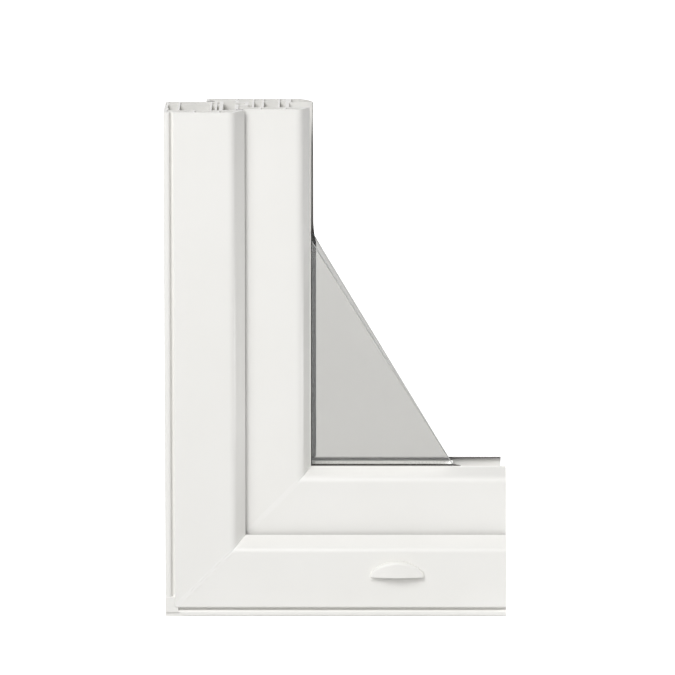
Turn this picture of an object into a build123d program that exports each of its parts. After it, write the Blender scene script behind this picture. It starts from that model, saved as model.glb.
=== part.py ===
from build123d import *
import math
import os

# Corner sample of a white PVC window, seen from outside.
# Profiles are drawn in u and v: u runs from the outer edge towards the glass,
# v runs from the frame's exterior face towards the room.

# Sample
SAMPLE_WIDTH = 281.0
SAMPLE_HEIGHT = 419.0

# Profile walls, and the rounding of outer edges and of joints between profiles
WALL = 2.8
WEB = 1.4
EDGE_RADIUS = 1.2
JOINT_RADIUS = 0.8

# Frame profile
FRAME_DEPTH = 70.0
FRAME_WIDTH = 66.0
FRAME_REBATE = 18.0
FRAME_BEVEL_WIDTH = 9.5
FRAME_BEVEL_DEPTH = 15.0
FRAME_BEVEL_RADIUS = 7.0
FIN_WIDTH = 5.4
FIN_SETBACK = 1.0
FIN_RADIUS = 2.2
CLIP_GROOVE_WIDTH = 2.6
CLIP_GROOVE_DEPTH = 4.5
ANCHOR_GROOVE_WIDTH = 7.0
ANCHOR_GROOVE_DEPTH = 2.2
ANCHOR_GROOVE_MOUTH = 4.6
ANCHOR_GROOVE_LIP = 1.0

# Welded corner: fins trimmed back from the outer edges, clip grooves filled
TRIM_WIDTH = 4.0
TRIM_DEPTH = 1.8
TRIM_LENGTH = 16.0
TRIM_SLANT = 4.0
STILE_FILL = 16.0
SILL_FILL = 10.5
FILL_SETBACK = 0.3
FILL_RAMP = 1.0

# Places of the frame's grooves and webs, as shares of the width or depth that they divide
ANCHOR_GROOVE_PLACES = (0.3, 0.75)
FRAME_ROW_PLACE = 0.7
FRAME_BACK_WEBS = (0.2, 0.82, 0.92)
FRAME_LIP_WEBS = (0.5, 0.98)

# Sash profile
SIGHT_WIDTH = 120.0
SASH_RECESS = 20.0
SASH_DEPTH = 70.0
SASH_GAP = 10.0
SASH_OVERLAP = 14.6
SASH_BEVEL_WIDTH = 7.5
SASH_BEVEL_DEPTH = 16.0
SASH_BEVEL_RADIUS = 7.5
SASH_LIP_LAND = 0.8
SASH_LIP_EDGE = 1.0
FLANGE_RADIUS = 2.5
HARDWARE_MOUTH = 12.0
HARDWARE_WIDTH = 16.0
HARDWARE_DEPTH = 8.0
HARDWARE_LIP = 2.4
HARDWARE_SETBACK = 10.0
GLAZING_REBATE = 18.0

# Places of the sash's webs, as shares of the width that they divide
SASH_BACK_WEBS = (0.29, 0.5, 0.84)
SASH_LIP_WEBS = (0.45, 0.98)

# Seals between frame and sash
FRAME_SEAL_THICKNESS = 3.0
SASH_SEAL_THICKNESS = 4.0
SEAL_WIDTH = 6.0
SEAL_EDGE = 1.0

# Glazing bead
BEAD_FLAT = 7.4
BEAD_SIGHT = 2.0
BEAD_WALL = 1.6
BEAD_SHOULDER_RADIUS = 5.0
BEAD_CUT_SHORT = 3.5
CLIP_WIDTH = 3.6
CLIP_LENGTH = 3.6
CLIP_SETBACK = 10.0
CLIP_CLEARANCE = 0.2

# Insulating glass, cut to a triangle
PANE_THICKNESS = 4.0
ARRIS = 0.4
CAVITY = 16.0
EDGE_CLEARANCE = 7.0
GLASS_APEX = 308.5
GLASS_FOOT = 237.7
INNER_PANE_RISE = 5.2
INNER_PANE_SHIFT = 1.9
SPACER_HEIGHT = 7.0
SPACER_WALL = 0.6
BUTYL_THICKNESS = 0.3
BUTYL_SQUEEZE = 0.6
SEALANT_HEIGHT = 4.6

# Glazing gaskets, with the rounding of a lip as a share of its thickness
LIP_ROUNDING = 0.6
OUTER_GASKET_THICKNESS = 2.5
OUTER_GASKET_WIDTH = 8.0
OUTER_GASKET_PROUD = 0.8
OUTER_GASKET_OVERRUN = 6.0
OUTER_GASKET_TAPER = 4.5
BEAD_GASKET_THICKNESS = 3.5
BEAD_GASKET_FLAP = 0.5
BEAD_GASKET_LIP = 1.6
STILE_LIP_SPREAD = 2.2
STILE_LIP_START = 5.0
STILE_LIP_RUNOUT = 18.5
RAIL_LIP_SPREAD = 0.3
RAIL_LIP_RUNOUT = 8.0
LIP_FLARE = 0.3

# Packers
SETTING_BLOCK_LENGTH = 60.0
SETTING_BLOCK_START = 140.0
SIDE_BLOCK_START = 200.0
PACKER_LENGTH = 50.0
PACKER_WIDTH = 20.0
PACKER_START = 120.0

# Drain opening and its cap
CAP_CENTRE = 191.0
CAP_BOTTOM = 34.0
CAP_WIDTH = 44.0
CAP_HEIGHT = 13.0
CAP_PROJECTION = 7.0
CAP_RIM = 3.4
CAP_CORNER_RADIUS = 8.0
CAP_RIM_RADIUS = 2.4
CAP_PLATE = 1.2
CAP_PLATE_DROP = 3.0
CAP_PLATE_RISE = 4.0
CAP_WALL = 1.4
DRAIN_SLOT_WIDTH = 28.0
DRAIN_SLOT_HEIGHT = 5.0
DRAIN_SLOT_RISE = 2.0

# Places that follow from the sizes above
FACE_START = FIN_WIDTH + CLIP_GROOVE_WIDTH
REBATE_FLOOR = FRAME_WIDTH - FRAME_REBATE
FRAME_LIP_BACK = SASH_RECESS - FRAME_SEAL_THICKNESS
SASH_EDGE = REBATE_FLOOR + SASH_GAP
SASH_BACK = SASH_RECESS + SASH_DEPTH
FLANGE_EDGE = REBATE_FLOOR - SASH_OVERLAP
FLANGE_FRONT = FRAME_DEPTH + SASH_SEAL_THICKNESS
SASH_LIP_BACK = SASH_RECESS + SASH_BEVEL_DEPTH
SASH_LIP_FRONT = SASH_LIP_BACK - SASH_LIP_EDGE
SASH_BEVEL_TIP = SIGHT_WIDTH - SASH_LIP_LAND
GLAZING_FLOOR = SIGHT_WIDTH - GLAZING_REBATE
HARDWARE_CENTRE = FLANGE_FRONT - HARDWARE_SETBACK - HARDWARE_WIDTH / 2
GLASS_FRONT = SASH_LIP_BACK + OUTER_GASKET_THICKNESS
CAVITY_FRONT = GLASS_FRONT + PANE_THICKNESS
CAVITY_BACK = CAVITY_FRONT + CAVITY
GLASS_BACK = CAVITY_BACK + PANE_THICKNESS
BEAD_FRONT = GLASS_BACK + BEAD_GASKET_THICKNESS
BEAD_TIP = SIGHT_WIDTH + BEAD_SIGHT
CLIP_CENTRE = SASH_BACK - CLIP_SETBACK
GLASS_EDGE = GLAZING_FLOOR + EDGE_CLEARANCE
SPACER_BASE = GLASS_EDGE + SEALANT_HEIGHT
SPACER_TOP = SPACER_BASE + SPACER_HEIGHT
BEAD_RAIL_END = SAMPLE_WIDTH - BEAD_CUT_SHORT
FRONT_Y = (CAP_PROJECTION - SASH_BACK) / 2


def outline(*points):
    return make_face(Polyline(*points, close=True))


def band(u0, u1, v0, v1):
    return Pos((u0 + u1) / 2, (v0 + v1) / 2) * Rectangle(u1 - u0, v1 - v0)


def round_corner(section, u, v, radius):
    corner = section.vertices().sort_by_distance((u, v, 0))[0]
    return fillet(corner, radius)


def bevel_inset(tip, width, depth, front, v):
    """Place on the inner side of a bevelled wall, at depth v."""
    slant = WALL * math.hypot(width, depth) / depth
    return tip - width + (v - front) * width / depth - slant


def frame_section():
    lip_corner = FRAME_WIDTH - (FRAME_LIP_BACK - FRAME_BEVEL_DEPTH)
    shape = outline(
        (0, FIN_SETBACK), (FIN_WIDTH, FIN_SETBACK), (FIN_WIDTH, CLIP_GROOVE_DEPTH),
        (FACE_START, CLIP_GROOVE_DEPTH), (FACE_START, 0), (FRAME_WIDTH - FRAME_BEVEL_WIDTH, 0),
        (FRAME_WIDTH, FRAME_BEVEL_DEPTH), (lip_corner, FRAME_LIP_BACK), (REBATE_FLOOR, FRAME_LIP_BACK),
        (REBATE_FLOOR, FRAME_DEPTH), (0, FRAME_DEPTH),
    )
    shape = round_corner(shape, FRAME_WIDTH - FRAME_BEVEL_WIDTH, 0, FRAME_BEVEL_RADIUS)
    shape = round_corner(shape, 0, FIN_SETBACK, FIN_RADIUS)
    shape = round_corner(shape, FIN_WIDTH, FIN_SETBACK, FIN_RADIUS)
    shape = round_corner(shape, FACE_START, 0, JOINT_RADIUS)
    shape = round_corner(shape, 0, FRAME_DEPTH, EDGE_RADIUS)
    shape = round_corner(shape, REBATE_FLOOR, FRAME_DEPTH, EDGE_RADIUS)

    # Hollow inside the walls, then the webs that split it into chambers
    row = FRAME_LIP_BACK - WALL
    lip_front = bevel_inset(FRAME_WIDTH, FRAME_BEVEL_WIDTH, FRAME_BEVEL_DEPTH, 0, WALL)
    lip_back = bevel_inset(FRAME_WIDTH, FRAME_BEVEL_WIDTH, FRAME_BEVEL_DEPTH, 0, row)
    inner = REBATE_FLOOR - WALL
    groove_back = CLIP_GROOVE_DEPTH + WALL
    hollow = outline(
        (WALL, groove_back), (FACE_START + WALL, groove_back), (FACE_START + WALL, WALL), (lip_front, WALL),
        (lip_back, row), (inner, row), (inner, FRAME_DEPTH - WALL), (WALL, FRAME_DEPTH - WALL),
    )
    span = inner - WALL
    back_row = row + (FRAME_DEPTH - WALL - row) * FRAME_ROW_PLACE
    webs = [band(0, REBATE_FLOOR, row, row + WEB), band(0, REBATE_FLOOR, back_row, back_row + WEB)]
    for share in FRAME_BACK_WEBS:
        place = WALL + span * share
        webs.append(band(place, place + WEB, row, FRAME_DEPTH))
    for share in FRAME_LIP_WEBS:
        place = WALL + span * share
        webs.append(band(place, place + WEB, 0, row))

    # Undercut grooves on the outer side for fixing lugs
    for share in ANCHOR_GROOVE_PLACES:
        centre = groove_back + (FRAME_DEPTH - groove_back) * share
        mouth = band(
            0, ANCHOR_GROOVE_LIP,
            centre - ANCHOR_GROOVE_MOUTH / 2, centre + ANCHOR_GROOVE_MOUTH / 2,
        )
        pocket = band(
            ANCHOR_GROOVE_LIP, ANCHOR_GROOVE_DEPTH,
            centre - ANCHOR_GROOVE_WIDTH / 2, centre + ANCHOR_GROOVE_WIDTH / 2,
        )
        shape -= mouth + pocket
        reach = ANCHOR_GROOVE_WIDTH / 2 + WEB
        webs.append(band(0, ANCHOR_GROOVE_DEPTH + WEB, centre - reach, centre + reach))
    return shape - (hollow - webs)


def sash_section():
    shape = outline(
        (SASH_EDGE, SASH_RECESS), (SIGHT_WIDTH - SASH_BEVEL_WIDTH, SASH_RECESS),
        (SASH_BEVEL_TIP, SASH_LIP_FRONT), (SIGHT_WIDTH, SASH_LIP_FRONT), (SIGHT_WIDTH, SASH_LIP_BACK),
        (GLAZING_FLOOR, SASH_LIP_BACK), (GLAZING_FLOOR, SASH_BACK), (FLANGE_EDGE, SASH_BACK),
        (FLANGE_EDGE, FLANGE_FRONT), (SASH_EDGE, FLANGE_FRONT),
    )
    shape = round_corner(shape, SIGHT_WIDTH - SASH_BEVEL_WIDTH, SASH_RECESS, SASH_BEVEL_RADIUS)
    shape = round_corner(shape, FLANGE_EDGE, SASH_BACK, FLANGE_RADIUS)
    shape = round_corner(shape, FLANGE_EDGE, FLANGE_FRONT, EDGE_RADIUS)
    shape = round_corner(shape, GLAZING_FLOOR, SASH_BACK, JOINT_RADIUS)

    row = SASH_LIP_BACK - WALL
    run = SASH_BEVEL_WIDTH - SASH_LIP_LAND
    drop = SASH_LIP_FRONT - SASH_RECESS
    lip_front = bevel_inset(SASH_BEVEL_TIP, run, drop, SASH_RECESS, SASH_RECESS + WALL)
    lip_back = bevel_inset(SASH_BEVEL_TIP, run, drop, SASH_RECESS, row)
    inner = GLAZING_FLOOR - WALL
    outer = SASH_EDGE + WALL
    hollow = outline(
        (outer, SASH_RECESS + WALL), (lip_front, SASH_RECESS + WALL), (lip_back, row), (inner, row),
        (inner, SASH_BACK - WALL), (FLANGE_EDGE + WALL, SASH_BACK - WALL),
        (FLANGE_EDGE + WALL, FLANGE_FRONT + WALL), (outer, FLANGE_FRONT + WALL),
    )
    span = inner - outer
    webs = [band(SASH_EDGE, GLAZING_FLOOR, row, row + WEB)]
    webs.append(band(SASH_EDGE, GLAZING_FLOOR, FLANGE_FRONT - WEB, FLANGE_FRONT))
    webs.append(band(SASH_EDGE, SASH_EDGE + WEB, FLANGE_FRONT, SASH_BACK))
    for share in SASH_BACK_WEBS:
        place = outer + span * share
        webs.append(band(place, place + WEB, row, SASH_BACK))
    for share in SASH_LIP_WEBS:
        place = outer + span * share
        webs.append(band(place, place + WEB, SASH_RECESS, row))

    # Undercut groove for hardware on the outer edge
    bottom = SASH_EDGE + HARDWARE_DEPTH
    mouth = band(
        SASH_EDGE, SASH_EDGE + HARDWARE_LIP,
        HARDWARE_CENTRE - HARDWARE_MOUTH / 2, HARDWARE_CENTRE + HARDWARE_MOUTH / 2,
    )
    pocket = band(
        SASH_EDGE + HARDWARE_LIP, bottom,
        HARDWARE_CENTRE - HARDWARE_WIDTH / 2, HARDWARE_CENTRE + HARDWARE_WIDTH / 2,
    )
    reach = HARDWARE_WIDTH / 2 + WALL
    webs.append(band(SASH_EDGE, bottom + WALL, HARDWARE_CENTRE - reach, HARDWARE_CENTRE + reach))

    # Groove that the bead's foot clips into
    clip_reach = CLIP_WIDTH / 2 + CLIP_CLEARANCE
    clip_floor = GLAZING_FLOOR - CLIP_LENGTH - CLIP_CLEARANCE
    clip = band(clip_floor, GLAZING_FLOOR, CLIP_CENTRE - clip_reach, CLIP_CENTRE + clip_reach)
    reach = clip_reach + WEB
    webs.append(band(clip_floor - WEB, GLAZING_FLOOR, CLIP_CENTRE - reach, CLIP_CENTRE + reach))
    return shape - (hollow - webs) - mouth - pocket - clip


def bead_shape(inset):
    """Bead whose face bows from the glass to its flat back, drawn smaller by an inset."""
    base = GLAZING_FLOOR + inset
    shoulder = GLAZING_FLOOR + BEAD_FLAT
    front = BEAD_FRONT + inset
    tip = BEAD_TIP - inset
    back = SASH_BACK - inset
    bow = TangentArc((tip, front), (shoulder, back), tangent=(0, 1))
    sides = Polyline((shoulder, back), (base, back), (base, front), (tip, front))
    return make_face(bow + sides)


def bead_section():
    shape = round_corner(bead_shape(0), GLAZING_FLOOR + BEAD_FLAT, SASH_BACK, BEAD_SHOULDER_RADIUS)
    shape = round_corner(shape, GLAZING_FLOOR, SASH_BACK, JOINT_RADIUS)
    foot = band(
        GLAZING_FLOOR - CLIP_LENGTH, GLAZING_FLOOR + BEAD_WALL,
        CLIP_CENTRE - CLIP_WIDTH / 2, CLIP_CENTRE + CLIP_WIDTH / 2,
    )
    return shape - bead_shape(BEAD_WALL) + foot


def front_plate(face, v0, v1):
    """Face drawn in the front view, given a thickness from v0 to v1."""
    plane = Plane(origin=(0, v0, 0), x_dir=(1, 0, 0), z_dir=(0, -1, 0))
    return extrude(plane * face, v0 - v1)


def mitred(solid, reach, upward):
    """Half of a solid on its own side of the corner's mitre."""
    far = (0, reach) if upward else (reach, 0)
    return solid & front_plate(outline((0, 0), (reach, reach), far), 0, SASH_BACK)


def upright(section, top=SAMPLE_HEIGHT):
    """Length of profile up the left side."""
    return mitred(extrude(section, top), top, True)


def level(section, end=SAMPLE_WIDTH):
    """Length of profile along the bottom."""
    plane = Plane(origin=(end, 0, 0), x_dir=(0, 0, 1), z_dir=(-1, 0, 0))
    return mitred(extrude(plane * section, end), end, False)


def welded(bar, upward):
    """Frame bar with its clip groove filled at the corner and the fin under the corner trimmed."""
    trim = outline((0, 0), (TRIM_LENGTH, 0), (TRIM_LENGTH - TRIM_SLANT, TRIM_WIDTH), (0, TRIM_WIDTH))
    end = STILE_FILL if upward else SILL_FILL
    ramp_end = end + FILL_RAMP
    ramp = outline(
        (0, FILL_SETBACK), (end, FILL_SETBACK), (ramp_end, CLIP_GROOVE_DEPTH), (0, CLIP_GROOVE_DEPTH),
    )
    fill = extrude(ramp, FACE_START)
    if upward:
        fill = mirror(fill, Plane(origin=(0, 0, 0), z_dir=(1, 0, -1)))
    return bar + mitred(fill, ramp_end, upward) - front_plate(trim, 0, TRIM_DEPTH)


def drain_slot():
    low = CAP_BOTTOM + DRAIN_SLOT_RISE
    slot = Pos(CAP_CENTRE, low + DRAIN_SLOT_HEIGHT / 2) * SlotOverall(DRAIN_SLOT_WIDTH, DRAIN_SLOT_HEIGHT)
    return front_plate(slot, 0, WALL)


def cap_arch(inset):
    """Front outline of the hood: a wide arc between two small corner arcs."""
    reach = CAP_WIDTH / 2 - CAP_CORNER_RADIUS
    rise = CAP_HEIGHT - CAP_CORNER_RADIUS
    drop = (reach**2 - rise**2) / (2 * rise)
    turn = math.degrees(math.atan2(drop, reach))
    right = CenterArc((reach, 0), CAP_CORNER_RADIUS - inset, 0, turn)
    top = CenterArc((0, -drop), CAP_HEIGHT + drop - inset, turn, 180 - 2 * turn)
    left = CenterArc((-reach, 0), CAP_CORNER_RADIUS - inset, 180 - turn, turn)
    return make_face(right + top + left + Line(left @ 1, right @ 0))


def drain_cap():
    """Arched hood over the drain slot, open below, on a base plate that reaches below the hood."""
    bow = CAP_PROJECTION - CAP_RIM
    bow_radius = ((CAP_WIDTH / 2)**2 + bow**2) / (2 * bow)

    def hood(inset):
        drum = Pos(0, bow_radius - CAP_PROJECTION, 0) * Cylinder(bow_radius - inset, 4 * CAP_HEIGHT)
        return front_plate(cap_arch(inset), -CAP_PROJECTION, 0) & drum

    outside = hood(0)
    rim = [e for e in outside.edges() if e.center().Y < -CAP_RIM / 2 and e.center().Z > CAP_WALL]
    plate_height = CAP_PLATE_DROP + CAP_PLATE_RISE
    plate = Box(CAP_WIDTH, CAP_PLATE, plate_height, align=(Align.CENTER, Align.MAX, Align.MIN))
    shell = fillet(rim, CAP_RIM_RADIUS) + Pos(0, 0, -CAP_PLATE_DROP) * plate - hood(CAP_WALL)
    return Pos(CAP_CENTRE, 0, CAP_BOTTOM) * shell


def glass_face(rise=0.0, shift=0.0):
    """Triangle of glass, its cut edge through the foot and apex at the sash's sight line."""
    apex = GLASS_APEX + rise
    foot = GLASS_FOOT - shift
    slope = (apex - SIGHT_WIDTH) / (foot - SIGHT_WIDTH)
    inset = SIGHT_WIDTH - GLASS_EDGE
    return outline(
        (GLASS_EDGE, GLASS_EDGE), (foot + inset / slope, GLASS_EDGE), (GLASS_EDGE, apex + inset * slope),
    )


def pane(face, v0, v1):
    """Sheet of glass with its sharp edges ground off."""
    glass = front_plate(face, v0, v1)
    sides = glass.faces().sort_by(Axis.Y)
    return chamfer(sides[0].edges() + sides[-1].edges(), ARRIS)


def edge_bar(section, upward):
    """Length of a bar along the edge of the glass, cut flush with the outer pane."""
    bar = upright(section) if upward else level(section)
    return bar & front_plate(glass_face(), 0, SASH_BACK)


def spacer_section():
    front = CAVITY_FRONT + BUTYL_THICKNESS
    back = CAVITY_BACK - BUTYL_THICKNESS
    tube = band(SPACER_BASE, SPACER_TOP, front, back)
    return tube - band(
        SPACER_BASE + SPACER_WALL, SPACER_TOP - SPACER_WALL, front + SPACER_WALL, back - SPACER_WALL,
    )


def butyl_section():
    """Lines of butyl on both sides of the spacer, squeezed up past it on the room side."""
    lines = band(SPACER_BASE, SPACER_TOP, CAVITY_FRONT, CAVITY_FRONT + BUTYL_THICKNESS)
    return lines + band(SPACER_BASE, SPACER_TOP + BUTYL_SQUEEZE, CAVITY_BACK - BUTYL_THICKNESS, CAVITY_BACK)


def along_sill(face):
    """Face drawn beside the stile in the front view, turned to lie along the sill."""
    return mirror(face, Plane(origin=(0, 0, 0), z_dir=(1, -1, 0)))


def outer_gasket(upward):
    """Strip between the sash's lip and the glass, its proud edge tapered off past the glass."""
    tip = SIGHT_WIDTH + OUTER_GASKET_PROUD
    strip = band(tip - OUTER_GASKET_WIDTH, tip, SASH_LIP_BACK, GLASS_FRONT)
    section = round_corner(strip, tip, SASH_LIP_BACK, OUTER_GASKET_THICKNESS * LIP_ROUNDING)
    end = (GLASS_APEX if upward else GLASS_FOOT) + OUTER_GASKET_OVERRUN
    taper = outline((SIGHT_WIDTH, end), (tip, end - OUTER_GASKET_TAPER), (tip, end))
    if upward:
        return upright(section, end) - front_plate(taper, SASH_LIP_BACK, GLASS_FRONT)
    return level(section, end) - front_plate(along_sill(taper), SASH_LIP_BACK, GLASS_FRONT)


def pressed_lip(glass_end, reach, runout):
    """Lip of the bead gasket that the glass spreads, easing back beyond the glass."""
    root = BEAD_TIP - BEAD_GASKET_FLAP
    spread = BEAD_TIP + reach
    end = glass_end + runout
    ease = Spline((spread, glass_end), (BEAD_TIP, end), tangents=[(-LIP_FLARE, 1), (0, 1)])
    sides = Polyline((BEAD_TIP, end), (root, end), (root, root), (spread, spread), (spread, glass_end))
    return make_face(ease + sides)


def bead_gasket(upward):
    """Flap along the bead's nose, with a lip spread flat where the glass presses it."""
    flap = band(BEAD_TIP - BEAD_GASKET_FLAP, BEAD_TIP, GLASS_BACK, BEAD_FRONT)
    lip_back = GLASS_BACK + BEAD_GASKET_LIP
    if upward:
        lip = pressed_lip(GLASS_APEX - STILE_LIP_START, STILE_LIP_SPREAD, STILE_LIP_RUNOUT)
        return upright(flap) + front_plate(lip, GLASS_BACK, lip_back)
    lip = along_sill(pressed_lip(GLASS_FOOT, RAIL_LIP_SPREAD, RAIL_LIP_RUNOUT))
    return level(flap, BEAD_RAIL_END) + front_plate(lip, GLASS_BACK, lip_back)


def block(low, high):
    size = Vector(*high) - Vector(*low)
    return Pos(*low) * Box(size.X, size.Y, size.Z, align=(Align.MIN, Align.MIN, Align.MIN))


def packers():
    """Blocks that carry the glass in the sash and the sash in the frame."""
    packer_front = (SASH_RECESS + FLANGE_FRONT - PACKER_WIDTH) / 2
    packer_back = packer_front + PACKER_WIDTH
    return {
        "setting_block": block(
            (SETTING_BLOCK_START, GLASS_FRONT, GLAZING_FLOOR),
            (SETTING_BLOCK_START + SETTING_BLOCK_LENGTH, GLASS_BACK, GLASS_EDGE),
        ),
        "side_block": block(
            (GLAZING_FLOOR, GLASS_FRONT, SIDE_BLOCK_START),
            (GLASS_EDGE, GLASS_BACK, SIDE_BLOCK_START + SETTING_BLOCK_LENGTH),
        ),
        "sash_packer_sill": block(
            (PACKER_START, packer_front, REBATE_FLOOR),
            (PACKER_START + PACKER_LENGTH, packer_back, SASH_EDGE),
        ),
        "sash_packer_stile": block(
            (REBATE_FLOOR, packer_front, PACKER_START),
            (SASH_EDGE, packer_back, PACKER_START + PACKER_LENGTH),
        ),
    }


def build_parts():
    frame = frame_section()
    sash = sash_section()
    bead = bead_section()
    frame_seal_end = FRAME_WIDTH - SEAL_EDGE
    frame_seal = band(frame_seal_end - SEAL_WIDTH, frame_seal_end, FRAME_LIP_BACK, SASH_RECESS)
    sash_seal_start = FLANGE_EDGE + SEAL_EDGE
    sash_seal = band(sash_seal_start, sash_seal_start + SEAL_WIDTH, FRAME_DEPTH, FLANGE_FRONT)
    sealant = band(GLASS_EDGE, SPACER_BASE, CAVITY_FRONT, CAVITY_BACK)

    parts = {
        "frame_stile": welded(upright(frame), True),
        "frame_sill": welded(level(frame), False) - drain_slot(),
        "sash_stile": upright(sash),
        "sash_rail": level(sash),
        "bead_stile": upright(bead),
        "bead_rail": level(bead, BEAD_RAIL_END),
        "frame_seal_stile": upright(frame_seal),
        "frame_seal_sill": level(frame_seal),
        "sash_seal_stile": upright(sash_seal),
        "sash_seal_rail": level(sash_seal),
        "glazing_gasket_stile": outer_gasket(True),
        "glazing_gasket_rail": outer_gasket(False),
        "bead_gasket_stile": bead_gasket(True),
        "bead_gasket_rail": bead_gasket(False),
        "outer_pane": pane(glass_face(), GLASS_FRONT, CAVITY_FRONT),
        "inner_pane": pane(glass_face(INNER_PANE_RISE, INNER_PANE_SHIFT), CAVITY_BACK, GLASS_BACK),
        "spacer_stile": edge_bar(spacer_section(), True),
        "spacer_rail": edge_bar(spacer_section(), False),
        "edge_sealant_stile": edge_bar(sealant, True),
        "edge_sealant_rail": edge_bar(sealant, False),
        "butyl_stile": edge_bar(butyl_section(), True),
        "butyl_rail": edge_bar(butyl_section(), False),
        "drain_cap": drain_cap(),
    }
    parts.update(packers())
    return parts


os.makedirs("parts", exist_ok=True)
for name, solid in build_parts().items():
    placed = Pos(-SAMPLE_WIDTH / 2, FRONT_Y, 0) * solid
    export_step(placed, f"parts/{name}.step")
    print(f"{name}: {placed.volume / 1000:.2f} cm3")
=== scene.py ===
import math

import bpy
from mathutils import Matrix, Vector, noise


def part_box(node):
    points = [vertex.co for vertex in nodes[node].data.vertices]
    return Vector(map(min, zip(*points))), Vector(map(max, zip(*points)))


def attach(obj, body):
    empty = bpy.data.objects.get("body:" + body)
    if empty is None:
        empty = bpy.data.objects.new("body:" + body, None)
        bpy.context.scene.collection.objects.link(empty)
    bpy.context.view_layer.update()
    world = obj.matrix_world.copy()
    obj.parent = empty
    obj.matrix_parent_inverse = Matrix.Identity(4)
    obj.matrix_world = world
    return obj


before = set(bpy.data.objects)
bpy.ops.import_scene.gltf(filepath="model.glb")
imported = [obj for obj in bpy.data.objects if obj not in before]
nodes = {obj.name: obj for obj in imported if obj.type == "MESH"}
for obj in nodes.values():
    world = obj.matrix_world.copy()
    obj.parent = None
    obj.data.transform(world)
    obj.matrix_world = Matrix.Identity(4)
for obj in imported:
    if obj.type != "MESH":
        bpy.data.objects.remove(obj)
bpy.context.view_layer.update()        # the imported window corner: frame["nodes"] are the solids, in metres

scene = bpy.context.scene
mm = 0.001
upright = (0, 0, 1)        # along the stiles
level = (1, 0, 0)          # along the rails
through = (0, 1, 0)        # across the panes
print("corner sample loaded:", len(nodes), "solids")


def linear(hexColour):        # sRGB hex to the linear values that the sockets take
    channels = [int(hexColour[i:i + 2], 16) / 255 for i in (1, 3, 5)]
    return [c / 12.92 if c <= 0.04045 else ((c + 0.055) / 1.055) ** 2.4 for c in channels] + [1.0]


def feed(tree, node, links):        # links an input's name or number to another node's socket
    for name, socket in links.items():
        tree.links.new(socket, node.inputs[name])


def addNode(tree, kind, settings=(), links=()):        # settings by property or by socket
    node = tree.nodes.new(kind)
    for name, value in dict(settings).items():
        if isinstance(name, str) and hasattr(node, name):
            setattr(node, name, value)
        else:
            node.inputs[name].default_value = value
    feed(tree, node, dict(links))
    return node


def addMath(tree, operation, *terms):        # each term is a number or a socket
    settings = {i: term for i, term in enumerate(terms) if isinstance(term, (int, float))}
    links = {i: term for i, term in enumerate(terms) if i not in settings}
    return addNode(tree, "ShaderNodeMath", {"operation": operation} | settings, links).outputs[0]


def objectPlace(tree):
    return addNode(tree, "ShaderNodeTexCoord").outputs["Object"]


def addNoise(tree, size, settings=()):        # soft patches, size in mm
    scale = {"Scale": 1 / (size * mm)}
    links = {"Vector": objectPlace(tree)}
    return addNode(tree, "ShaderNodeTexNoise", scale | dict(settings), links).outputs["Fac"]


def addLines(tree, along, spacing, length, detail):        # streaks along a bar's axis, in mm
    stretch = [1 / ((length if axis else spacing) * mm) for axis in along]
    drawn = addNode(tree, "ShaderNodeMapping", {"Scale": stretch}, {"Vector": objectPlace(tree)})
    settings = {"Scale": 1.0, "Detail": detail}
    links = {"Vector": drawn.outputs[0]}
    return addNode(tree, "ShaderNodeTexNoise", settings, links).outputs["Fac"]


def addBump(tree, depth, height, links=()):        # depth in mm
    links = {"Height": height} | dict(links)
    return addNode(tree, "ShaderNodeBump", {"Distance": depth * mm}, links).outputs[0]


def mixColours(tree, share, first, second):        # the first hex colour at 0, the second at 1
    settings = {"data_type": "RGBA", 6: linear(first), 7: linear(second)}
    return addNode(tree, "ShaderNodeMix", settings, {0: share}).outputs[2]


def mixValues(tree, share, first, second):
    return addNode(tree, "ShaderNodeMix", {2: first, 3: second}, {0: share}).outputs[0]


def varied(tree, share, middle, swing):        # a value that goes up and down with a pattern
    settings = {"To Min": middle - swing, "To Max": middle + swing}
    return addNode(tree, "ShaderNodeMapRange", settings, {"Value": share}).outputs[0]


def faceAlong(tree, axis):        # 1 on faces that look along the axis, either way, 0 beside it
    facing = addNode(tree, "ShaderNodeNewGeometry").outputs["Normal"]
    settings = {"operation": "DOT_PRODUCT", 1: axis}
    turned = addNode(tree, "ShaderNodeVectorMath", settings, {0: facing})
    return addMath(tree, "ABSOLUTE", turned.outputs["Value"])


def startMaterial(name, surface):        # plain constants go straight on the shader's own sockets
    material = bpy.data.materials.new(name)
    material.use_nodes = True
    tree = material.node_tree
    tree.nodes.clear()
    shader = addNode(tree, "ShaderNodeBsdfPrincipled", surface)
    addNode(tree, "ShaderNodeOutputMaterial", links={"Surface": shader.outputs[0]})
    return material, tree, shader


def dress(material, *names):
    for name in names:
        slots = nodes[name].data.materials
        slots.clear()
        slots.append(material)


# Rigid PVC, extruded through a polished die and cooled in a calibrator, then cut with a saw.
# The faces are an even satin white with faint lines along the length.
# The sawn ends are chalky with blade arcs.
pvc = {
    "colour": "#f1f0ed",
    "driftColour": "#edece8",
    "driftSize": 70,            # mm, slow drift of the white along a bar
    "lineSpacing": 2.4,         # mm between die lines: really about 0.3, drawn coarser to show
    "lineLength": 300,          # mm
    "lineDepth": 0.006,         # mm
    "lineDetail": 3.0,          # octaves
    "roughness": 0.34,
    "ior": 1.53,
    "endFacing": 0.95,          # faces turned closer than this to the bar's axis are saw cuts
    "sawnColour": "#f4f3f1",
    "sawnRoughness": 0.7,
    "sawSpacing": 1.8,          # mm between blade arcs
    "sawDepth": 0.05,           # mm
    "sawWander": 1.5,           # how far the arcs stray
    "bladeRadius": 160,         # mm, from the cut to the saw's axle
}
ringSpacing = 2 * math.pi / 20        # m between a wave texture's rings at scale 1


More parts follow.
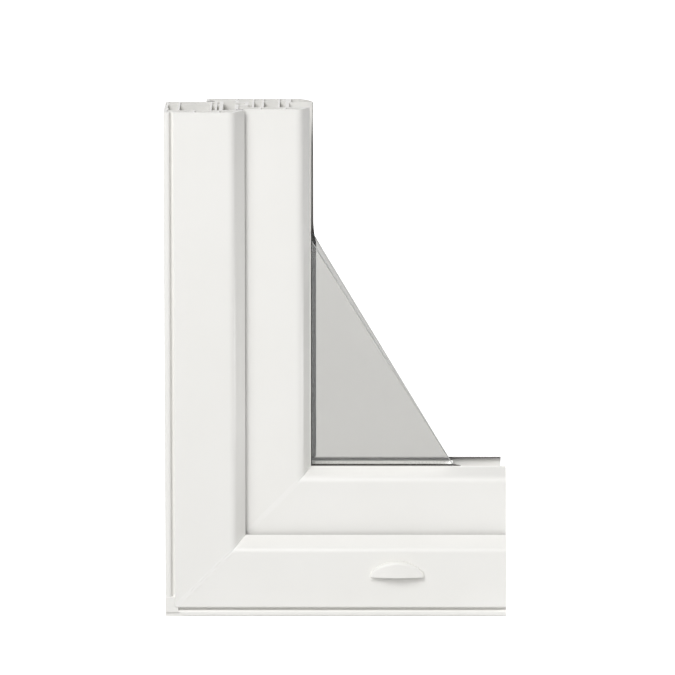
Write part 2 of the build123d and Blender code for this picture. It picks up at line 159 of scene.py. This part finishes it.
def extrudedPvc(name, along):        # along is the bar's own axis
    material, tree, shader = startMaterial(name, {"IOR": pvc["ior"]})
    sawn = addMath(tree, "GREATER_THAN", faceAlong(tree, along), pvc["endFacing"])

    drift = addNoise(tree, pvc["driftSize"])
    white = mixColours(tree, drift, pvc["colour"], pvc["driftColour"])
    colour = addNode(
        tree, "ShaderNodeMix", {"data_type": "RGBA", 7: linear(pvc["sawnColour"])},
        {0: sawn, 6: white},
    )
    roughness = mixValues(tree, sawn, pvc["roughness"], pvc["sawnRoughness"])

    lines = addLines(tree, along, pvc["lineSpacing"], pvc["lineLength"], pvc["lineDetail"])
    dieBump = addBump(tree, pvc["lineDepth"], lines)

    axle = [0.0 if axis else pvc["bladeRadius"] * mm for axis in along]
    moved = addNode(tree, "ShaderNodeMapping", {"Location": axle}, {"Vector": objectPlace(tree)})
    arcs = addNode(
        tree, "ShaderNodeTexWave",
        {
            "wave_type": "RINGS", "rings_direction": "Z" if along[2] else "X",
            "Scale": ringSpacing / (pvc["sawSpacing"] * mm), "Distortion": pvc["sawWander"],
        },
        {"Vector": moved.outputs[0]},
    )
    sawBump = addBump(
        tree, pvc["sawDepth"], arcs.outputs["Fac"], {"Strength": sawn, "Normal": dieBump},
    )
    feed(tree, shader, {"Base Color": colour.outputs[2], "Roughness": roughness, "Normal": sawBump})
    return material


dress(extrudedPvc("extrudedPvcUpright", upright), "frame_stile", "sash_stile", "bead_stile")
dress(extrudedPvc("extrudedPvcLevel", level), "frame_sill", "sash_rail", "bead_rail")
print("white profiles dressed")

# Welded mitres, planed with a knife after welding: a faint, broken ridge on both sides
# of the joint, duller than the die-polished faces.
weld = {
    "seams": {
        "frameWeld": {
            "corners": ((9, 0), (56.5, 0), (66, 15)), "rounding": 7.0, "ridge": 0.3,
        },
        "sashWeld": {
            "corners": ((67.5, 20), (112.5, 20), (119.2, 35)), "rounding": 7.5, "ridge": 0.08,
        },
    },                          # mm, from the outer edge and from the frame's face
    "across": (-3.0, -1.5, 0.0, 1.5, 3.0),      # mm along the two bars, from the joint
    "profile": (0.04, 1.0, 0.1, 1.0, 0.04),     # share of the ridge's height
    "step": 0.5,                # mm along the joint
    "bendSteps": 13,            # steps round the bend between face and bevel
    "breakSize": 4.0,           # mm between thick and thin places
    "breakShift": 3.1,          # keeps the breaks on the two sides apart
    "usualHeight": 0.5,         # share of the ridge
    "heightSwing": 1.2,         # share of the ridge, up and down
    "leastHeight": 0.15,        # share of the ridge
    "roughness": 0.5,
    "scrapeSize": 0.8,          # mm
    "scrapeDepth": 0.01,        # mm
}


def roundedPath(corners, radius):        # places and outward normals along one bar's section
    start, corner, end = [Vector(c) for c in corners]
    into, away = (corner - start).normalized(), (end - corner).normalized()
    reach = radius * math.tan(into.angle(away) / 2)
    first, second = corner - into * reach, corner + away * reach
    frontward, slantward = Vector((into.y, -into.x)), Vector((away.y, -away.x))
    centre = first - frontward * radius
    straights = []
    for low, high, normal in ((start, first, frontward), (second, end, slantward)):
        count = max(2, round((high - low).length / weld["step"]))
        straights.append([(low.lerp(high, i / count), normal) for i in range(count + 1)])
    turns = [i / weld["bendSteps"] for i in range(1, weld["bendSteps"])]
    normals = [frontward.lerp(slantward, turn).normalized() for turn in turns]
    return straights[0] + [(centre + n * radius, n) for n in normals] + straights[1]


def makeWeld(name, seam, material):
    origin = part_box("frame_stile")[0]
    places = []
    for spot, normal in roundedPath(seam["corners"], seam["rounding"]):
        for side, (offset, share) in enumerate(zip(weld["across"], weld["profile"])):
            apart = weld["breakShift"] * side
            where = Vector((spot.x / weld["breakSize"], apart, seam["rounding"]))
            left = weld["usualHeight"] + weld["heightSwing"] * noise.noise(where)
            height = seam["ridge"] * share * max(weld["leastHeight"], left)
            flank, depth = spot.x + normal.x * height, spot.y + normal.y * height
            beside = spot.x + abs(offset)
            x, z = (flank, beside) if offset <= 0 else (beside, flank)
            places.append(origin + Vector((x, depth, z)) * mm)
    width = len(weld["across"])
    faces = []
    for row in range(len(places) // width - 1):
        for column in range(width - 1):
            a = row * width + column
            faces.append((a, a + 1, a + 1 + width, a + width))
    mesh = bpy.data.meshes.new(name)
    mesh.from_pydata(places, [], faces)
    mesh.materials.append(material)
    piece = bpy.data.objects.new(name, mesh)
    scene.collection.objects.link(piece)
    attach(piece, "root")


def scrapedPvc():
    surface = {
        "Base Color": linear(pvc["colour"]), "Roughness": weld["roughness"], "IOR": pvc["ior"],
    }
    material, tree, shader = startMaterial("scrapedPvc", surface)
    scrape = addNoise(tree, weld["scrapeSize"])
    feed(tree, shader, {"Normal": addBump(tree, weld["scrapeDepth"], scrape)})
    return material


planedWeld = scrapedPvc()
for name, seam in weld["seams"].items():
    makeWeld(name, seam, planedWeld)
print("mitres welded")

# Injection-moulded PVC in a spark-eroded tool: as white as the profiles but duller,
# with a very fine grain.
moulding = {
    "colour": "#f0efeb",
    "roughness": 0.4,
    "roughnessSwing": 0.05,     # up and down with the grain
    "grainSize": 0.9,           # mm: really about 0.1, drawn coarser to show
    "grainDepth": 0.006,        # mm
}


def mouldedPvc():
    surface = {"Base Color": linear(moulding["colour"]), "IOR": pvc["ior"]}
    material, tree, shader = startMaterial("mouldedPvc", surface)
    grain = addNoise(tree, moulding["grainSize"])
    roughness = varied(tree, grain, moulding["roughness"], moulding["roughnessSwing"])
    bump = addBump(tree, moulding["grainDepth"], grain)
    feed(tree, shader, {"Roughness": roughness, "Normal": bump})
    return material


dress(mouldedPvc(), "drain_cap")

# EPDM rubber, extruded and cured: black and matt, with pale talc left in patches.
rubber = {
    "colour": "#1d1712",
    "talcColour": "#3a332a",
    "talcSize": 6,              # mm
    "talcDetail": 3.0,          # octaves
    "talcFrom": 0.5,            # of the pattern's values from 0 to 1, where talc begins
    "talcFull": 0.75,           # and where it is thickest
    "roughness": 0.62,
    "ior": 1.52,
    "grainSize": 1.2,           # mm
    "grainDepth": 0.01,         # mm
}


def epdmRubber():
    surface = {"Roughness": rubber["roughness"], "IOR": rubber["ior"]}
    material, tree, shader = startMaterial("epdmRubber", surface)
    talc = addNoise(tree, rubber["talcSize"], {"Detail": rubber["talcDetail"]})
    limits = {"From Min": rubber["talcFrom"], "From Max": rubber["talcFull"]}
    patches = addNode(tree, "ShaderNodeMapRange", limits, {"Value": talc}).outputs[0]
    colour = mixColours(tree, patches, rubber["colour"], rubber["talcColour"])
    bump = addBump(tree, rubber["grainDepth"], addNoise(tree, rubber["grainSize"]))
    feed(tree, shader, {"Base Color": colour, "Normal": bump})
    return material


dress(
    epdmRubber(), "frame_seal_stile", "frame_seal_sill", "sash_seal_stile", "sash_seal_rail",
    "glazing_gasket_stile", "glazing_gasket_rail", "bead_gasket_stile", "bead_gasket_rail",
)

# Float glass, cut and ground along its edges: the outer pane is clear, the inner one
# is tinted grey as painted shade for the dimmer room seen through it, and the ground edges are frosted.
glass = {
    "clear": "#f6f6f4",
    # painted shade: a grey tint that darkens the view through the inner pane
    "shadeTint": "#a3a2a0",
    "roughness": 0.0,
    "ior": 1.52,
    "paneFacing": 0.95,         # faces turned further than this from its axis are ground edges
    "edgeColour": "#a9adaa",
    "edgeRoughness": 0.35,
}


def floatGlass(name, tint):
    material, tree, shader = startMaterial(name, {"Transmission Weight": 1.0, "IOR": glass["ior"]})
    ground = addMath(tree, "LESS_THAN", faceAlong(tree, through), glass["paneFacing"])
    colour = mixColours(tree, ground, tint, glass["edgeColour"])
    roughness = mixValues(tree, ground, glass["roughness"], glass["edgeRoughness"])
    feed(tree, shader, {"Base Color": colour, "Roughness": roughness})

    # Lamps shine straight through a pane, so that it casts a tinted shadow and not a black one.
    lit = addNode(tree, "ShaderNodeBsdfTransparent", {"Color": linear(tint)})
    shade = addNode(tree, "ShaderNodeLightPath").outputs["Is Shadow Ray"]
    surfaces = {0: shade, 1: shader.outputs[0], 2: lit.outputs[0]}
    pane = addNode(tree, "ShaderNodeMixShader", links=surfaces)
    feed(tree, tree.nodes["Material Output"], {"Surface": pane.outputs[0]})
    return material


dress(floatGlass("floatGlassClear", glass["clear"]), "outer_pane")
dress(floatGlass("floatGlassPaintedShade", glass["shadeTint"]), "inner_pane")

# Rolled aluminium strip, seam-welded into a spacer: bright with fine rolling lines
# and rows of breather holes, drawn as dark dots of painted shade.
spacer = {
    "colour": "#dddddb",
    "roughness": 0.5,
    "roughnessSwing": 0.08,     # up and down with the lines
    "lineSpacing": 0.8,         # mm between rolling lines
    "lineLength": 60,           # mm
    "lineDepth": 0.004,         # mm
    "lineDetail": 2.0,          # octaves
    "holeShadeColour": "#3a3a38",
    "holeRadius": 0.5,          # mm
    "holePitch": 3.0,           # mm
    "rowGap": 7.0,              # mm between the two rows of holes
}


def rolledAluminium(name, along, node):
    material, tree, shader = startMaterial(name, {"Metallic": 1.0})
    low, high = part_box(node)
    axes = addNode(tree, "ShaderNodeSeparateXYZ", links={0: objectPlace(tree)})
    lengthwise = axes.outputs["Z" if along[2] else "X"]
    toHole = addMath(tree, "PINGPONG", lengthwise, spacer["holePitch"] * mm / 2)
    offCentre = addMath(tree, "SUBTRACT", axes.outputs["Y"], (low.y + high.y) / 2)
    eitherRow = addMath(tree, "ABSOLUTE", offCentre)
    toRow = addMath(tree, "SUBTRACT", eitherRow, spacer["rowGap"] * mm / 2)
    reach = addNode(tree, "ShaderNodeCombineXYZ", links={0: toHole, 1: toRow})
    length = addNode(tree, "ShaderNodeVectorMath", {"operation": "LENGTH"}, {0: reach.outputs[0]})
    # painted shade: the holes are dark dots standing in for their shadowed insides
    hole = addMath(tree, "LESS_THAN", length.outputs["Value"], spacer["holeRadius"] * mm)
    colour = mixColours(tree, hole, spacer["colour"], spacer["holeShadeColour"])

    lines = addLines(tree, along, spacer["lineSpacing"], spacer["lineLength"], spacer["lineDetail"])
    roughness = varied(tree, lines, spacer["roughness"], spacer["roughnessSwing"])
    bump = addBump(tree, spacer["lineDepth"], lines)
    feed(tree, shader, {"Base Color": colour, "Roughness": roughness, "Normal": bump})
    return material


dress(rolledAluminium("rolledAluminiumUpright", upright, "spacer_stile"), "spacer_stile")
dress(rolledAluminium("rolledAluminiumLevel", level, "spacer_rail"), "spacer_rail")

# Polysulphide and butyl sealant, pumped in and tooled flat: black, a little shiny, softly uneven.
sealant = {
    "colour": "#242423",
    "paleColour": "#30302e",
    "rippleSize": 5,            # mm
    "rippleDepth": 0.08,        # mm
    "roughness": 0.5,
}


def curedSealant():
    material, tree, shader = startMaterial("curedSealant", {"Roughness": sealant["roughness"]})
    ripple = addNoise(tree, sealant["rippleSize"])
    colour = mixColours(tree, ripple, sealant["colour"], sealant["paleColour"])
    bump = addBump(tree, sealant["rippleDepth"], ripple)
    feed(tree, shader, {"Base Color": colour, "Normal": bump})
    return material


dress(curedSealant(), "edge_sealant_stile", "edge_sealant_rail", "butyl_stile", "butyl_rail")

# Moulded polypropylene packers: blue-grey, waxy, with flow marks from the gate.
packer = {
    "colour": "#5a6470",
    "flowColour": "#66707b",
    "flowSize": 14,             # mm
    "flowSwirl": 1.5,           # how far the marks are stirred
    "roughness": 0.48,
    "ior": 1.49,
}


def mouldedPolypropylene():
    surface = {"Roughness": packer["roughness"], "IOR": packer["ior"]}
    material, tree, shader = startMaterial("mouldedPolypropylene", surface)
    flow = addNoise(tree, packer["flowSize"], {"Distortion": packer["flowSwirl"]})
    colour = mixColours(tree, flow, packer["colour"], packer["flowColour"])
    feed(tree, shader, {"Base Color": colour})
    return material


dress(
    mouldedPolypropylene(),
    "setting_block", "side_block", "sash_packer_sill", "sash_packer_stile",
)
print("small parts dressed")

# Pale floor that reads white behind the sample and keeps its soft shadow.
floor = {
    "reach": 15.0,              # m
    "colour": "#e6e6e6",
    "glow": 0.85,               # share of white that the floor shows by itself
}


def seenRays(tree):        # 1 for what the eye sees directly, in gloss or through glass
    path = addNode(tree, "ShaderNodeLightPath").outputs
    mirrored = addMath(tree, "MAXIMUM", path["Is Camera Ray"], path["Is Glossy Ray"])
    return addMath(tree, "MAXIMUM", mirrored, path["Is Transmission Ray"])


def makeFloor():
    reach = floor["reach"]
    corners = [(-reach, -reach, 0), (reach, -reach, 0), (reach, reach, 0), (-reach, reach, 0)]
    mesh = bpy.data.meshes.new("paleFloor")
    mesh.from_pydata(corners, [], [(0, 1, 2, 3)])
    ground = bpy.data.objects.new("paleFloor", mesh)
    scene.collection.objects.link(ground)
    material = bpy.data.materials.new("paleFloor")
    material.use_nodes = True
    tree = material.node_tree
    tree.nodes.clear()
    matt = addNode(tree, "ShaderNodeBsdfDiffuse", {"Color": linear(floor["colour"])})
    share = addMath(tree, "MULTIPLY", seenRays(tree), floor["glow"])
    glow = addNode(tree, "ShaderNodeEmission", links={"Strength": share})
    both = addNode(tree, "ShaderNodeAddShader", links={0: matt.outputs[0], 1: glow.outputs[0]})
    addNode(tree, "ShaderNodeOutputMaterial", links={"Surface": both.outputs[0]})
    mesh.materials.append(material)


makeFloor()

# One large soft box from the upper left in front, a small one low on the right,
# one behind, and a pale room.
light = {
    "boxes": {
        "softBox": {
            "azimuth": -24, "elevation": 40, "distance": 4.0, "aim": 0.2,
            "size": 2.4, "power": 123,
        },
        "fillBox": {
            "azimuth": 87, "elevation": 14, "distance": 0.4, "aim": 0.03,
            "size": 0.15, "power": 0.36,
        },
        "backBox": {
            "azimuth": 165, "elevation": 20, "distance": 4.0, "aim": 0.2,
            "size": 2.4, "power": 45,
        },
    },                          # degrees, m and W; azimuth is negative to the left, aim a height
    "roomLevel": 0.28,          # share of white that the room sheds on the sample
    "roomWhite": 1.0,           # what the eye sees of it
}


def outFrom(azimuth, elevation):        # direction from the sample towards a lamp or the camera
    a, e = math.radians(azimuth), math.radians(elevation)
    return Vector((math.sin(a) * math.cos(e), -math.cos(a) * math.cos(e), math.sin(e)))


def makeLight():
    for name, box in light["boxes"].items():
        disk = bpy.data.lights.new(name, "AREA")
        disk.shape = "DISK"
        disk.size = box["size"]
        disk.energy = box["power"]
        lamp = bpy.data.objects.new(name, disk)
        direction = outFrom(box["azimuth"], box["elevation"])
        lamp.location = Vector((0, 0, box["aim"])) + direction * box["distance"]
        lamp.rotation_euler = direction.to_track_quat("Z", "Y").to_euler()
        scene.collection.objects.link(lamp)

    world = bpy.data.worlds.new("whiteRoom")
    world.use_nodes = True
    tree = world.node_tree
    tree.nodes.clear()
    levels = {"To Min": light["roomLevel"], "To Max": light["roomWhite"]}
    strength = addNode(tree, "ShaderNodeMapRange", levels, {"Value": seenRays(tree)})
    room = addNode(tree, "ShaderNodeBackground", links={"Strength": strength.outputs[0]})
    addNode(tree, "ShaderNodeOutputWorld", links={"Surface": room.outputs[0]})
    scene.world = world


makeLight()

# Long lens, square on to the front and a little above it.
shot = {
    "aim": (0.0014, -0.0415, 0.2335),       # m
    "azimuth": 0,                           # degrees
    "elevation": 9.45,                      # degrees
    "distance": 5.4,                        # m
    "lens": 351.8,                          # mm
    "sensor": 36.0,                         # mm
}


def makeCamera():
    lens = bpy.data.cameras.new("catalogueCamera")
    lens.lens = shot["lens"]
    lens.sensor_width = shot["sensor"]
    camera = bpy.data.objects.new("catalogueCamera", lens)
    direction = outFrom(shot["azimuth"], shot["elevation"])
    camera.location = Vector(shot["aim"]) + direction * shot["distance"]
    camera.rotation_euler = direction.to_track_quat("Z", "Y").to_euler()
    scene.collection.objects.link(camera)
    scene.camera = camera


makeCamera()
scene.view_settings.view_transform = "Standard"
print("floor, light and camera set")
